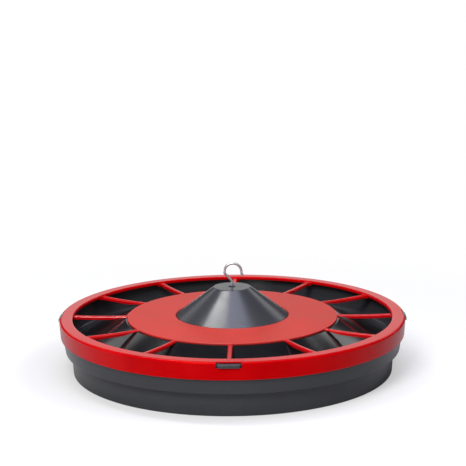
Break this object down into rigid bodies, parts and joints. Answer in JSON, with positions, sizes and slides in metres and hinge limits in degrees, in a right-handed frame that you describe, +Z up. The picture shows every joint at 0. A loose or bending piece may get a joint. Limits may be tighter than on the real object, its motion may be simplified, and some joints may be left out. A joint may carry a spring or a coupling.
{
  "type": "poultry feeder",
  "caption": "Round poultry feeder: a shallow pan with a central cone and a wire hook to hang it, under a clipped-on ring whose spokes keep birds off the feed.",
  "frame": {"origin": "centre of the foot's underside, on the pan's axis, at floor level", "axes": "+Z up along the pan's axis; a spoke and a snap catch lie on each of +X, -X, +Y and -Y; the hook's loop lies in the XZ plane"},
  "size_m": [0.503, 0.503, 0.155],
  "materials": {
    "black_moulding": "satin",
    "red_moulding": "semi-gloss",
    "plated_steel": "bright zinc"
  },
  "bodies": {
    "root": {"feed_pan": "black_moulding", "feeding_grille": "red_moulding", "hook_bolt": "plated_steel", "upper_nut": "plated_steel", "upper_washer": "plated_steel", "lower_washer": "plated_steel", "lower_nut": "plated_steel"}
  },
  "joints": []
}
